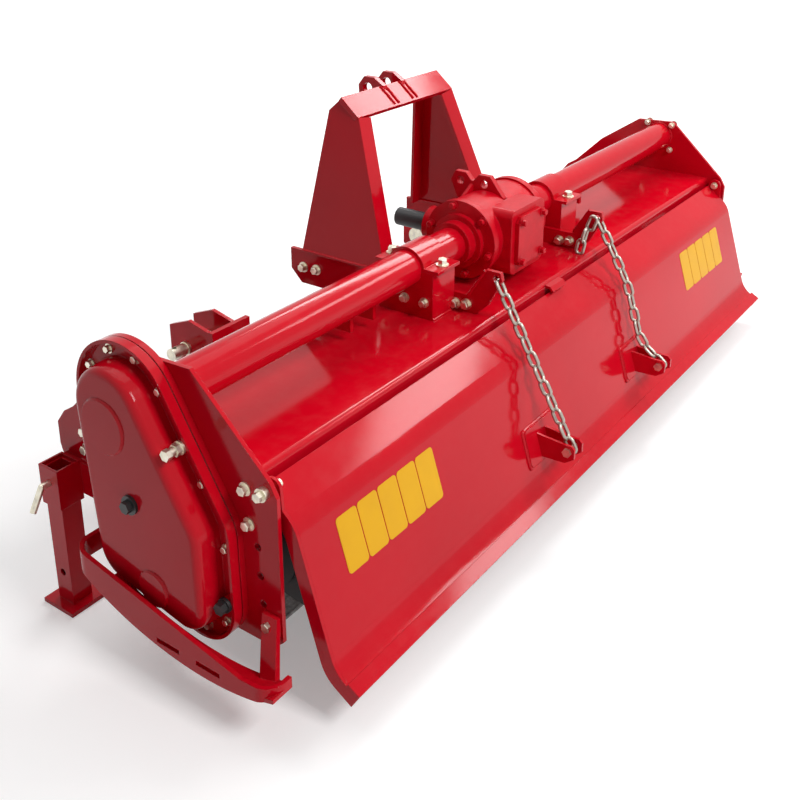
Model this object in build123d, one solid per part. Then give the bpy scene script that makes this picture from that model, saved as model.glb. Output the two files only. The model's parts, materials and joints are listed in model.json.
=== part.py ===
"""Three-point rotary tiller: frame, gear case, tined rotor, trailing board, stands and chains."""
import math
import os

from build123d import *

# Frame while modelling: X to the right looking forward, Y forward, Z up, tube axis at Y 0, ground at Z 0.
FIT = 0.3
RUN = 0.4
SLIDE = 0.5

# Half length of the trailing board, which sets the width of the whole machine
BOARD_HALF = 950
BOARD_PLAY = 8

# Main tube and side plates
TUBE_Z = 505
TUBE_R = 38
TUBE_WALL = 8
PLATE_IN = BOARD_HALF + BOARD_PLAY
PLATE_T = 8
PLATE_OUT = PLATE_IN + PLATE_T

# Rotor with bent tines
ROTOR_Y = -55
TINE_FACE = 195
ROTOR_Z = TINE_FACE
ROTOR_TUBE_R = 40
ROTOR_HALF = PLATE_IN - 53
FLANGE_COUNT = 9
FLANGE_SPAN = ROTOR_HALF - 45
FLANGE_R = 98
FLANGE_T = 8
TINE_COUNT = 6
TINE_T = 8
TINE_W = 50
TINE_LEG = 84
TINE_STAGGER = 20
STUB_R = 25
BEARING_R = STUB_R + 37
STUB_LEFT = -PLATE_OUT - 14
STUB_RIGHT = PLATE_OUT + 34

# Deck
DECK_Z = 404
DECK_T = 4
DECK_REAR = -158
DECK_BEND = 9
DECK_LIP_Z = 374
DECK_FOLD = 100
DECK_FRONT = (152, 262)

# Trailing board, outer surface from hinge side to lower edge
BOARD_T = 3
BOARD = [(-168, 386), (-228, 334), (-302, 95), (-346, 68)]
BOARD_BEND = 64
BOARD_END_T = 6
BOARD_END_DEEP = 26
HINGE_Y = -186
HINGE_Z = 388
HINGE_R = 7
STRIP_T = 6
STRIP_H = 26

# Gear case on the left side plate: its outline is drawn round four lobes given by Y, Z and radius
CASE_LOBES = [(88, 462, 112), (-57, 290, 78), (-57, 160, 80), (85, 200, 92)]
CASE_RIM = -PLATE_OUT - 32
CASE_SEAM = -PLATE_OUT - 14
SEAM_T = 2
CASE_WALL = 6
CASE_FLOOR = CASE_RIM + 12
FLOOR_T = 5
DOME_H = 48
DOME_X = CASE_FLOOR - DOME_H
DOME_INSET = 30
DOME_R = 14
DOME_DRAFT = 7
DOME_WALL = 6
DOME_BOSSES = [(95, 438, 50), (8, 166, 34)]
BOSS_H = 4
FILLER = (-43, 432)
DRAIN = (-120, 172)
LEVEL = (45, 313)
PLUG_BOSS_R = 12
PLUG_BOSS_H = 12

# Hitch group: gearbox, clamps, arms and mast share one small side shift
SHIFT_X = -20
BOX_HALF = 95
BOX_R = 84
BOX_REAR_TOP = 70
CAP_R = 88
CAP_T = 18
COLLAR_R = 52
COLLAR_END = 150
COVER_Y = -104
COVER_SIDE = 112
COVER_T = 10
PTO_Z = 480
PTO_R = 17.5
PTO_END = 236
NECK_R = 42
NECK_END = 150
NECK_BORE = 24
PTO_CAP_R = 21.5
PTO_CAP_START = 164
LUG_T = 14
LUG_HOLES = [(6, 97), (68, 97)]
LUG_OUTLINE = [(-70, 55), (-46, 70), (-8, 117), (20, 117), (34, 101), (40, 101), (54, 117), (82, 117),
               (94, 95), (76, 55)]
LUG_RIB = [(-60, 55), (60, 55), (60, 65), (9, 93), (-9, 93), (-60, 65)]
LUG_HOLE_R = 9

ARM_X = 235
ARM_T = 10
ARM_TOP = 442
CLAMP_W = 80
STRAP_T = 7
EAR_OUT = 78
BLOCK_HALF = 66

MAST_TOP_X = 177
MAST_TOP = [(218, 758), (264, 797), (300, 764)]
MAST_FRONT = 345
MAST_REAR = 112
MAST_T = 8
MAST_FLANGE = 44
CROSS_T = 12
EAR_T = 14
EAR_GAP = 58
TOP_PIN_R = 12.75
TOP_PIN = (300, 788)
EAR_OUTLINE = [(-54, -46), (-28, -58), (24, -26), (26, 6), (10, 26), (-18, 26), (-44, 10)]

# Lower hitch brackets, mirrored about the hitch shift
HITCH_X = 450
HITCH_GAP = 62
HITCH_T = 10
HITCH_PIN_R = 14
HITCH_SHANK_R = 16
HITCH_FREE = 40
HITCH_PIN = (470, 262)

# Depth skids
SKID_T = 8
SKID_GAP = 10
SKID_WIDE = BOSS_H - DOME_X - PLATE_OUT + SKID_GAP + SKID_T
SKID_KEEL = [(188, 156), (125, 121), (-48, 73), (-150, 70), (-264, 92)]
SKID_TOP = [(188, 188), (-200, 108), (-264, 112)]
SKID_ROUND = 34
SKID_SOLE = 48
SKID_SLOTS = (-40, -130)

# Parking stands
STAND_Y = 275
STAND_X = PLATE_OUT + 8 + 25
SLEEVE = 50
SLEEVE_WALL = 4
SLEEVE_TOP = 290
SLEEVE_BOTTOM = 212
LEG = SLEEVE - 2 * SLEEVE_WALL - 2 * SLIDE
LEG_WALL = 4
LEG_TOP = 284
FOOT = 80
FOOT_T = 8
STAND_TRAVEL = 190
PIN_R = 6

# Holding chains of the board
CHAIN_X = ARM_X - ARM_T / 2
HOOK = (-164, 492)
CHAIN_PIN = (-350, 168)
WIRE_R = 3.5
LINK_PITCH = 27
LINK_INNER = 5.6
LINK_PLAY = 0.3
HOOK_R = WIRE_R + 4
CHAIN_BOLT_R = LINK_INNER - 0.6
CHEEK_GAP = 2 * (LINK_INNER + 2 * WIRE_R) + 3
CHEEK_T = 6
BRACKET_BASE = CHEEK_GAP / 2 + CHEEK_T + 4


def box(x0, x1, y0, y1, z0, z1):
    """Block between two corners."""
    return Pos((x0 + x1) / 2, (y0 + y1) / 2, (z0 + z1) / 2) * Box(abs(x1 - x0), abs(y1 - y0), abs(z1 - z0))


def plate_yz(points, x0, x1):
    """Flat outline in Y and Z, given thickness along X."""
    low = min(x0, x1)
    face = make_face(Polyline(*points, close=True))
    return extrude(Plane.YZ.offset(low) * face, abs(x1 - x0))


def plate_xz(points, y0, y1):
    """Flat outline in X and Z, given thickness along Y."""
    high = max(y0, y1)
    face = make_face(Polyline(*points, close=True))
    return extrude(Plane.XZ.offset(-high) * face, abs(y1 - y0))


def rod_x(r, x0, x1, y, z):
    """Round bar along X."""
    return Pos((x0 + x1) / 2, y, z) * Rot(0, 90, 0) * Cylinder(r, abs(x1 - x0))


def rod_y(r, y0, y1, x, z):
    """Round bar along Y."""
    return Pos(x, (y0 + y1) / 2, z) * Rot(90, 0, 0) * Cylinder(r, abs(y1 - y0))


def rod_z(r, z0, z1, x, y):
    """Round bar along Z."""
    return Pos(x, y, (z0 + z1) / 2) * Cylinder(r, abs(z1 - z0))


def hexagon_x(across, x0, x1, y, z):
    """Six-sided head along X."""
    face = Pos(y, z) * RegularPolygon(across / 2, 6, major_radius=False)
    return extrude(Plane.YZ.offset(min(x0, x1)) * face, abs(x1 - x0))


def mirrored(shape):
    """Copy on the other side of the machine."""
    return mirror(shape, Plane.YZ)


def beside(shape, side):
    """Hitch pieces are drawn at the left of X 0 and set on either side of the hitch shift."""
    placed = shape if side < 0 else mirrored(shape)
    return Pos(SHIFT_X, 0, 0) * placed


def group(shapes):
    """Several solids of one node."""
    return Compound([solid for shape in shapes for solid in shape.solids()])


def offset_path(points, distance):
    """Polyline moved sideways by a distance, mitred at its bends."""
    moved = []
    for i, point in enumerate(points):
        normals = []
        for a, b in ((i - 1, i), (i, i + 1)):
            if a >= 0 and b < len(points):
                dy = points[b][0] - points[a][0]
                dz = points[b][1] - points[a][1]
                size = math.hypot(dy, dz)
                normals.append((-dz / size, dy / size))
        ny = sum(n[0] for n in normals) / len(normals)
        nz = sum(n[1] for n in normals) / len(normals)
        scale = distance / (ny * ny + nz * nz)
        moved.append((point[0] + ny * scale, point[1] + nz * scale))
    return moved


def bent_sheet(points, thickness, x0, x1, bend=0):
    """Folded sheet whose outer face follows the points, with its bends rounded."""
    inner = offset_path(points, thickness)
    if not bend:
        return plate_yz(points + inner[::-1], x0, x1)
    edges = FilletPolyline(*points, radius=bend).edges() + FilletPolyline(*inner, radius=bend).edges()
    edges += [Line(points[0], inner[0]), Line(points[-1], inner[-1])]
    return extrude(Plane.YZ.offset(min(x0, x1)) * make_face(edges), abs(x1 - x0))


parts = {}

# Side plates
plate_line = [(66, 547), (-40, 552), (-196, 408), (-210, 384), (-210, 118), (-190, 100), (70, 100),
              (150, 170), (240, 236), (300, 262), (312, 300), (312, 344), (290, 372), (262, 390), (180, 470)]
tube_bolts = [(37, 542), (37, 468), (-37, 542), (-37, 468)]
depth_holes = [(-165, 281), (-168, 228), (-171, 176)]


def side_plate(side):
    """Side plate with the row of depth holes, the rotor hole and the hinge hole."""
    plate = plate_yz(plate_line, side * PLATE_IN, side * PLATE_OUT)
    plate -= rod_x(STUB_R + RUN, side * (PLATE_IN - 5), side * (PLATE_OUT + 5), ROTOR_Y, ROTOR_Z)
    plate -= rod_x(HINGE_R + FIT, side * (PLATE_IN - 5), side * (PLATE_OUT + 5), HINGE_Y, HINGE_Z)
    for y, z in depth_holes:
        plate -= rod_x(7, side * (PLATE_IN - 5), side * (PLATE_OUT + 5), y, z)
    return plate


parts["side_plate_left"] = side_plate(-1)
parts["side_plate_right"] = side_plate(1)

# Main tube halves
tube_left_end = SHIFT_X - COLLAR_END
tube_right_end = SHIFT_X + COLLAR_END
tube_runs = {"main_tube_left": (-PLATE_IN, tube_left_end), "main_tube_right": (tube_right_end, PLATE_IN)}
for name, (x0, x1) in tube_runs.items():
    tube = rod_x(TUBE_R, x0, x1, 0, TUBE_Z)
    tube -= rod_x(TUBE_R - TUBE_WALL, x0 - 1, x1 + 1, 0, TUBE_Z)
    parts[name] = tube

# Gearbox
housing = rod_x(BOX_R, -BOX_HALF, BOX_HALF, 0, TUBE_Z)
rear = box(-72, 72, COVER_Y, 0, TUBE_Z - 76, TUBE_Z + BOX_REAR_TOP)
housing += fillet(rear.edges().filter_by(Axis.Y), 18)
housing += rod_y(NECK_R, 0, NECK_END, 0, PTO_Z)
housing += rod_y(NECK_R + 16, 40, 84, 0, PTO_Z)
housing -= rod_y(PTO_R + RUN, NECK_END - NECK_BORE, NECK_END + 1, 0, PTO_Z)
parts["gearbox_housing"] = Pos(SHIFT_X, 0, 0) * housing
caps = []
for side in (-1, 1):
    cap = rod_x(CAP_R, side * BOX_HALF, side * (BOX_HALF + CAP_T), 0, TUBE_Z)
    cap += rod_x(COLLAR_R + 8, side * (BOX_HALF + CAP_T), side * (BOX_HALF + CAP_T + 12), 0, TUBE_Z)
    cap += rod_x(COLLAR_R - 4, side * (BOX_HALF + CAP_T), side * COLLAR_END, 0, TUBE_Z)
    caps.append(Pos(SHIFT_X, 0, 0) * cap)
parts["gearbox_bearing_caps"] = group(caps)
half = COVER_SIDE / 2
clip = 12
cover_line = [(-half + clip, -half), (half - clip, -half), (half, -half + clip), (half, half - clip),
              (half - clip, half), (-half + clip, half), (-half, half - clip), (-half, -half + clip)]
cover_line = [(x, z + TUBE_Z - 2) for x, z in cover_line]
parts["gearbox_rear_cover"] = Pos(SHIFT_X, 0, 0) * plate_xz(cover_line, COVER_Y - COVER_T, COVER_Y)
lug = plate_yz([(y, TUBE_Z + z) for y, z in LUG_OUTLINE], -LUG_T / 2, LUG_T / 2)
for y, z in LUG_HOLES:
    lug -= rod_x(LUG_HOLE_R, -LUG_T, LUG_T, y, TUBE_Z + z)
lug -= rod_x(BOX_R, -LUG_T, LUG_T, 0, TUBE_Z)
lug -= box(-LUG_T, LUG_T, COVER_Y, 0, TUBE_Z, TUBE_Z + BOX_REAR_TOP)
rib = plate_xz([(x, TUBE_Z + z) for x, z in LUG_RIB], 34, 42)
rib -= rod_x(BOX_R, -100, 100, 0, TUBE_Z)
rib -= rod_x(CAP_R, -BOX_HALF - CAP_T, -BOX_HALF, 0, TUBE_Z)
parts["gearbox_lug"] = Pos(SHIFT_X, 0, 0) * (lug + rib)
parts["input_shaft"] = rod_y(PTO_R, NECK_END - NECK_BORE + RUN, PTO_END, SHIFT_X, PTO_Z)
cap = rod_y(PTO_CAP_R, PTO_CAP_START, PTO_END + 6, SHIFT_X, PTO_Z)
cap -= rod_y(PTO_R, PTO_CAP_START - 1, PTO_END, SHIFT_X, PTO_Z)
parts["input_cap"] = cap

# Gear case: body on the plate, gasket in the seam and pressed cover
def case_face(inset, x):
    """Outline of the case drawn in by an inset, at one X; each circle starts on its inner side."""
    rounds = [Pos(y, z) * Rot(0, 0, 180 if y > 0 else 0) * Circle(r - inset) for y, z, r in CASE_LOBES]
    return Plane.YZ.offset(x) * make_hull([edge for shape in rounds for edge in shape.edges()])


def case_slab(inset, x0, x1):
    """Slab of the case outline along X."""
    return extrude(case_face(inset, min(x0, x1)), abs(x1 - x0))


body = case_slab(0, -PLATE_OUT, CASE_SEAM + SEAM_T)
body -= case_slab(CASE_WALL, -PLATE_OUT + 1, CASE_SEAM - 1)
parts["gear_case_body"] = body
gasket = case_slab(2, CASE_SEAM, CASE_SEAM + SEAM_T)
gasket -= case_slab(CASE_WALL, CASE_SEAM - 1, CASE_SEAM + SEAM_T + 1)
parts["gear_case_gasket"] = gasket
cover = case_slab(0, CASE_RIM, CASE_SEAM)
cover -= case_slab(CASE_WALL, CASE_RIM - 1, CASE_FLOOR)
cover -= case_slab(CASE_WALL, CASE_FLOOR + FLOOR_T, CASE_SEAM + 1)
dome = loft([case_face(DOME_INSET, CASE_FLOOR), case_face(DOME_INSET + DOME_DRAFT, DOME_X)])
dome = fillet(dome.faces().sort_by(Axis.X)[0].edges(), DOME_R)
hollow = loft([case_face(DOME_INSET + DOME_WALL, CASE_FLOOR + DOME_WALL),
               case_face(DOME_INSET + DOME_DRAFT + DOME_WALL, DOME_X + DOME_WALL)])
cover += dome
for boss_y, boss_z, boss_r in DOME_BOSSES:
    boss = rod_x(boss_r, DOME_X - BOSS_H, DOME_X + 1, boss_y, boss_z)
    cover += chamfer(boss.edges().sort_by(Axis.X)[0], BOSS_H - 1)
for boss_y, boss_z in (FILLER, DRAIN):
    cover += rod_x(PLUG_BOSS_R, CASE_FLOOR - PLUG_BOSS_H, CASE_FLOOR + 1, boss_y, boss_z)
cover -= hollow
parts["gear_case_cover"] = cover

# Deck with rear lip and front fold
deck_line = [(DECK_REAR, DECK_LIP_Z), (DECK_REAR, DECK_Z), (DECK_FOLD, DECK_Z), DECK_FRONT]
parts["deck"] = bent_sheet(deck_line, -DECK_T, -PLATE_IN, PLATE_IN, DECK_BEND)

# Arms under the tube, clamps and blocks
arm_line = [(380, ARM_TOP), (380, 392), (350, 362), (196, 362), (132, DECK_Z), (-118, DECK_Z), (-146, 430),
            (-178, 490), (-174, 507), (-140, 507), (-104, ARM_TOP)]
block_bottom = DECK_Z
for side, name in ((-1, "left"), (1, "right")):
    arm = plate_yz(arm_line, -ARM_X, -ARM_X + ARM_T)
    arm -= rod_x(TUBE_R + FIT, -ARM_X - 5, -ARM_X + ARM_T + 5, 0, TUBE_Z)
    hook_y, hook_z = HOOK
    arm -= rod_x(HOOK_R, -ARM_X - 5, -ARM_X + ARM_T + 5, hook_y, hook_z)
    parts["chain_arm_" + name] = beside(arm, side)
    x0 = -ARM_X - CLAMP_W
    x1 = -ARM_X
    block = box(x0, x1, -BLOCK_HALF, BLOCK_HALF, block_bottom, TUBE_Z)
    block -= rod_x(TUBE_R, x0 - 1, x1 + 1, 0, TUBE_Z)
    block -= box(x0 + 10, x1 - 10, -BLOCK_HALF + 10, BLOCK_HALF - 10, block_bottom - 1, TUBE_Z - TUBE_R - 8)
    parts["clamp_block_" + name] = beside(block, side)
    strap = rod_x(TUBE_R + STRAP_T, x0, x1, 0, TUBE_Z)
    strap += box(x0, x1, -EAR_OUT, EAR_OUT, TUBE_Z, TUBE_Z + STRAP_T)
    strap -= rod_x(TUBE_R, x0 - 1, x1 + 1, 0, TUBE_Z)
    strap -= box(x0 - 1, x1 + 1, -200, 200, TUBE_Z - 100, TUBE_Z)
    parts["tube_clamp_" + name] = beside(strap, side)

# Mast: splayed panels on the arms, cross plate and ears
mast_foot_x = ARM_X
lean = (ARM_X - MAST_TOP_X) / (MAST_TOP[1][1] - ARM_TOP)
mast_line = [(MAST_REAR, ARM_TOP), MAST_TOP[0], MAST_TOP[1], MAST_TOP[2], (MAST_FRONT, ARM_TOP)]


def mast_panel():
    """Left panel, leaning in toward the top, with an inward flange on its rear and front edges."""
    height = MAST_TOP[1][1] - ARM_TOP
    angle = math.degrees(math.atan2(ARM_X - MAST_TOP_X, height))
    flat = [(y, (z - ARM_TOP) / math.cos(math.radians(angle))) for y, z in mast_line]
    panel = plate_yz(flat, 0, MAST_T)
    for (y0, z0), (y1, z1), turn in ((flat[0], flat[1], 1), (flat[4], flat[3], -1)):
        size = math.hypot(y1 - y0, z1 - z0)
        ny = turn * (z1 - z0) / size * MAST_T
        nz = -turn * (y1 - y0) / size * MAST_T
        panel += plate_yz([(y0, z0), (y1, z1), (y1 + ny, z1 + nz), (y0 + ny, z0 + nz)], 0, MAST_FLANGE)
    panel = Pos(-ARM_X, 0, ARM_TOP) * Rot(0, angle, 0) * panel
    panel -= box(-ARM_X - 60, 0, -100, 600, ARM_TOP - 60, ARM_TOP)
    return panel


panel = mast_panel()
rear_low = MAST_TOP[0]
rear_high = MAST_TOP[1]
cross_angle = math.degrees(math.atan2(rear_high[1] - rear_low[1], rear_high[0] - rear_low[0]))
cross_half = MAST_TOP_X + 8
cross_length = math.hypot(rear_high[0] - rear_low[0], rear_high[1] - rear_low[1])
cross = Box(2 * cross_half, cross_length, CROSS_T, align=(Align.CENTER, Align.MIN, Align.MAX))
cross = Pos(SHIFT_X, rear_low[0], rear_low[1]) * Rot(cross_angle, 0, 0) * cross
pin_y, pin_z = TOP_PIN
ear_line = [(pin_y + y, pin_z + z) for y, z in EAR_OUTLINE]
ears = []
for side in (-1, 1):
    x0 = SHIFT_X + side * EAR_GAP / 2
    ear = plate_yz(ear_line, x0, x0 + side * EAR_T)
    ear -= rod_x(TOP_PIN_R, x0 - 20, x0 + 20, TOP_PIN[0], TOP_PIN[1])
    ear -= cross
    ears.append(ear.solids().sort_by(SortBy.VOLUME)[-1])
parts["mast_panel_left"] = beside(panel, -1) - cross
parts["mast_panel_right"] = beside(panel, 1) - cross
parts["mast_cross_plate"] = cross
parts["top_link_ears"] = group(ears)

# Lower hitch brackets welded to the front of the tube, with their pins
hitch_line = [(6, 426), (6, TUBE_Z), (46, TUBE_Z), (120, 440), (262, 336), (386, 286), (400, 317), (460, 330),
              (520, 306), (520, 230), (500, 215), (340, 215), (196, 330), (112, 426)]
for side, name in ((-1, "left"), (1, "right")):
    outer = -HITCH_X - HITCH_GAP / 2 - HITCH_T
    inner = -HITCH_X + HITCH_GAP / 2 + HITCH_T
    pin_y, pin_z = HITCH_PIN
    bracket = box(outer, inner + 34, 386, 398, 236, 318)
    for x in (outer, inner - HITCH_T):
        bracket += plate_yz(hitch_line, x, x + HITCH_T)
    bracket -= rod_x(TUBE_R, outer - 1, inner + 50, 0, TUBE_Z)
    bracket -= rod_x(HITCH_SHANK_R + FIT, outer - 1, inner + 1, pin_y, pin_z)
    parts["hitch_bracket_" + name] = beside(bracket, side)
    pin = rod_x(HITCH_SHANK_R + 8, inner, inner + 10, pin_y, pin_z)
    pin += rod_x(HITCH_SHANK_R, outer - 6, inner, pin_y, pin_z)
    pin += rod_x(HITCH_PIN_R, outer - 6 - HITCH_FREE, outer - 6, pin_y, pin_z)
    pin -= rod_z(5, pin_z - 40, pin_z + 40, outer + 4 - HITCH_FREE, pin_y)
    parts["hitch_pin_" + name] = beside(pin, side)

# Depth skids: a boat-shaped band round each side, with a sole, a front arm and a rear upright
def skid():
    """Left skid: a band bent round two corners and cut to its boat shape."""
    out = -PLATE_OUT - SKID_WIDE
    sole_edge = out + SKID_SOLE
    front = SKID_KEEL[0][0]
    rear = SKID_KEEL[-1][0]
    plan = [(-PLATE_OUT, front), (out, front), (out, rear), (sole_edge, rear)]
    inner = [(-PLATE_OUT, front - SKID_T), (out + SKID_T, front - SKID_T), (out + SKID_T, rear + SKID_T),
             (sole_edge, rear + SKID_T)]
    edges = FilletPolyline(*plan, radius=SKID_ROUND).edges()
    edges += FilletPolyline(*inner, radius=SKID_ROUND - SKID_T).edges()
    edges += [Line(plan[0], inner[0]), Line(plan[-1], inner[-1])]
    band = extrude(make_face(edges), 2 * SKID_TOP[0][1])
    keel = Spline(*SKID_KEEL)
    top = Polyline(SKID_KEEL[0], *SKID_TOP, SKID_KEEL[-1])
    side = make_face([keel, *top.edges()])
    shape = band & extrude(Plane.YZ.offset(out - 1) * side, SKID_WIDE + 1)
    for y in SKID_SLOTS:
        shape -= box(out - 1, out + SKID_T + 1, y - 26, y + 26, 86, 95)
    raised = [(y, z + SKID_T) for y, z in SKID_KEEL]
    ends = [Line(SKID_KEEL[0], raised[0]), Line(SKID_KEEL[-1], raised[-1])]
    sole = extrude(Plane.YZ.offset(out + SKID_T / 2) * make_face([keel, Spline(*raised), *ends]),
                   SKID_SOLE - SKID_T / 2)
    shape += sole - box(out - 1, -PLATE_OUT, front - 60, front + 1, 0, SKID_TOP[0][1])
    foot = Plane.XY.offset(80) * Pos(sole_edge - 6, -222) * Rectangle(12, 32)
    head = Plane.XY.offset(166) * Pos(-PLATE_OUT - SKID_T / 2, -190) * Rectangle(SKID_T, 32)
    shape += loft([foot, head])
    shape += box(-PLATE_OUT - SKID_T, -PLATE_OUT, -206, -174, 130, 166)
    return shape


parts["skid_left"] = skid()
parts["skid_right"] = mirrored(skid())

# Right end: rotor bearing housing and the flange of the tube
bearing = rod_x(BEARING_R, PLATE_OUT, PLATE_OUT + 14, ROTOR_Y, ROTOR_Z)
bearing += rod_x(BEARING_R - 16, PLATE_OUT, STUB_RIGHT + 8, ROTOR_Y, ROTOR_Z)
bearing -= rod_x(STUB_R + RUN, PLATE_OUT - 1, STUB_RIGHT + RUN, ROTOR_Y, ROTOR_Z)
parts["rotor_bearing_housing"] = bearing
flange = box(PLATE_OUT, PLATE_OUT + 6, -48, 48, TUBE_Z - 48, TUBE_Z + 40)
parts["tube_end_flange"] = flange

# Rotor: tube, flanges, tines and stubs
rotor = rod_x(ROTOR_TUBE_R, -ROTOR_HALF, ROTOR_HALF, 0, 0)
rotor += rod_x(STUB_R, STUB_LEFT, -ROTOR_HALF, 0, 0)
rotor += rod_x(STUB_R, ROTOR_HALF, STUB_RIGHT, 0, 0)
tine_arm = [(-58, 60), (-14, 70), (4, 96), (16, 130), (TINE_W / 2, TINE_FACE), (-TINE_W / 2, TINE_FACE),
            (-36, 140), (-54, 96)]
pitch = 2 * FLANGE_SPAN / (FLANGE_COUNT - 1)
blades = []
discs = []
for k in range(FLANGE_COUNT):
    x = -FLANGE_SPAN + k * pitch
    discs.append(rod_x(FLANGE_R, x - FLANGE_T / 2, x + FLANGE_T / 2, 0, 0))
    for n in range(TINE_COUNT):
        side = 1 if n % 2 else -1
        if k == 0:
            side = 1
        if k == FLANGE_COUNT - 1:
            side = -1
        face = x + side * FLANGE_T / 2
        blade = plate_yz(tine_arm, face, face + side * TINE_T)
        blade += box(face, face + side * TINE_LEG, -TINE_W / 2, TINE_W / 2, TINE_FACE - TINE_T, TINE_FACE)
        turn = 180 + n * 360 / TINE_COUNT + k * TINE_STAGGER
        blades.append(Rot(turn, 0, 0) * blade)
rotor = rotor + discs + blades
parts["rotor"] = Pos(0, ROTOR_Y, ROTOR_Z) * rotor

# Trailing board
sheet_half = BOARD_HALF - BOARD_END_T
parts["board_sheet"] = bent_sheet(BOARD, BOARD_T, -sheet_half, sheet_half, BOARD_BEND)
ends = []
ear_r = 17
hinge_ear = [(HINGE_Y + ear_r, HINGE_Z), (HINGE_Y + ear_r, HINGE_Z - 20), (HINGE_Y + 10, HINGE_Z - 26),
             (HINGE_Y - 20, HINGE_Z - 44), (HINGE_Y - ear_r, HINGE_Z)]
for side in (-1, 1):
    outer_x = side * BOARD_HALF
    inner_x = side * (BOARD_HALF - BOARD_END_T)
    end = bent_sheet(BOARD, BOARD_END_DEEP, inner_x, outer_x, BOARD_BEND)
    end -= box(inner_x - side, outer_x + side, DECK_REAR - 8, 0, 330, 430)
    end += plate_yz(hinge_ear, inner_x, outer_x)
    end += rod_x(ear_r, inner_x, outer_x, HINGE_Y, HINGE_Z)
    end -= rod_x(HINGE_R + RUN, inner_x - 10, outer_x + 10, HINGE_Y, HINGE_Z)
    ends.append(end)
parts["board_end_plates"] = group(ends)
hinge_bolts = []
for side in (-1, 1):
    bolt = rod_x(HINGE_R, side * (BOARD_HALF - BOARD_END_T - 12), side * (PLATE_OUT + 8), HINGE_Y, HINGE_Z)
    bolt += rod_x(11, side * PLATE_OUT, side * (PLATE_OUT + 8), HINGE_Y, HINGE_Z)
    hinge_bolts.append(bolt)
parts["hinge_bolts"] = group(hinge_bolts)
edge_y, edge_z = BOARD[-1]
bend_y, bend_z = BOARD[-2]
share = STRIP_H / math.hypot(edge_y - bend_y, edge_z - bend_z)
start = [(edge_y + (bend_y - edge_y) * share, edge_z + (bend_z - edge_z) * share), BOARD[-1]]
parts["board_bottom_strip"] = bent_sheet(start, -STRIP_T, -BOARD_HALF, BOARD_HALF)

# Tab of the deck over the middle of the board
tab_line = [(DECK_REAR, DECK_Z - 2), (DECK_REAR - 14, DECK_Z - 4), (DECK_REAR - 22, DECK_Z - 14),
            (DECK_REAR - 17, DECK_Z - 15), (DECK_REAR - 11, DECK_Z - 9), (DECK_REAR, DECK_Z - 8)]
parts["deck_tab"] = plate_yz(tab_line, -30, 30)

# Chain brackets on the board
slope_y = BOARD[2][0] - BOARD[1][0]
slope_z = BOARD[2][1] - BOARD[1][1]


def board_y(z):
    """Outer surface of the main panel at a height."""
    return BOARD[1][0] + slope_y * (z - BOARD[1][1]) / slope_z


brackets = []
chain_bolts = []
for x in (SHIFT_X - CHAIN_X, SHIFT_X + CHAIN_X):
    pin_y, pin_z = CHAIN_PIN
    line = [(board_y(pin_z + 20), pin_z + 20), (pin_y + 14, pin_z + 15), (pin_y - 8, pin_z + 15),
            (pin_y - 15, pin_z + 8), (pin_y - 15, pin_z - 12), (pin_y + 4, pin_z - 26),
            (board_y(pin_z - 29), pin_z - 29)]
    base = [(board_y(pin_z + 28), pin_z + 28), (board_y(pin_z - 32), pin_z - 32)]
    bracket = bent_sheet(base, -4, x - BRACKET_BASE, x + BRACKET_BASE)
    cheek = CHEEK_GAP / 2
    for side in (-1, 1):
        bracket += plate_yz(line, x + side * cheek, x + side * (cheek + CHEEK_T))
    edge = cheek + CHEEK_T
    bracket -= rod_x(CHAIN_BOLT_R + FIT, x - edge - 1, x + edge + 1, pin_y, pin_z)
    brackets.append(bracket)
    bolt = rod_x(CHAIN_BOLT_R, x - edge, x + edge + 11, pin_y, pin_z)
    bolt += hexagon_x(17, x - edge - 6, x - edge, pin_y, pin_z)
    bolt += hexagon_x(17, x + edge, x + edge + 8, pin_y, pin_z)
    chain_bolts.append(bolt)
parts["chain_brackets"] = group(brackets)
parts["chain_bolts"] = group(chain_bolts)

# Parking stands
for side, name in ((-1, "left"), (1, "right")):
    x = -STAND_X
    half = SLEEVE / 2
    hole = half - SLEEVE_WALL
    sleeve = box(x - half, x + half, STAND_Y - half, STAND_Y + half, SLEEVE_BOTTOM, SLEEVE_TOP)
    sleeve -= box(x - hole, x + hole, STAND_Y - hole, STAND_Y + hole, SLEEVE_BOTTOM - 1, SLEEVE_TOP + 1)
    foot_line = [(200, 286), (200, 222), (STAND_Y + half, 222), (STAND_Y + half, 286)]
    sleeve += plate_yz(foot_line, x + half, -PLATE_OUT)
    pin_z = SLEEVE_TOP - 30
    sleeve -= rod_x(PIN_R + FIT, x - half - 5, x - hole + 0.5, STAND_Y, pin_z)
    parts["stand_sleeve_" + name] = sleeve if side < 0 else mirrored(sleeve)
    leg_half = LEG / 2
    leg = box(x - leg_half, x + leg_half, STAND_Y - leg_half, STAND_Y + leg_half, FOOT_T, LEG_TOP)
    leg -= box(x - leg_half + LEG_WALL, x + leg_half - LEG_WALL, STAND_Y - leg_half + LEG_WALL,
               STAND_Y + leg_half - LEG_WALL, FOOT_T + 6, LEG_TOP + 1)
    leg += box(x - FOOT / 2, x + FOOT / 2, STAND_Y - FOOT / 2, STAND_Y + FOOT / 2, 0, FOOT_T)
    leg -= rod_x(PIN_R + 1, x - leg_half - 1, x + leg_half + 1, STAND_Y, 70)
    parts["stand_leg_" + name] = leg if side < 0 else mirrored(leg)
    pin = rod_x(PIN_R, x - hole, x - half - 16, STAND_Y, pin_z)
    pin += Pos(x - half - 16, STAND_Y, pin_z) * Sphere(PIN_R)
    grip = Cylinder(PIN_R, 46, align=(Align.CENTER, Align.CENTER, Align.MIN))
    pin += Pos(x - half - 16, STAND_Y, pin_z) * Rot(0, -150, 0) * grip
    parts["stand_pin_" + name] = pin if side < 0 else mirrored(pin)


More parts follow.
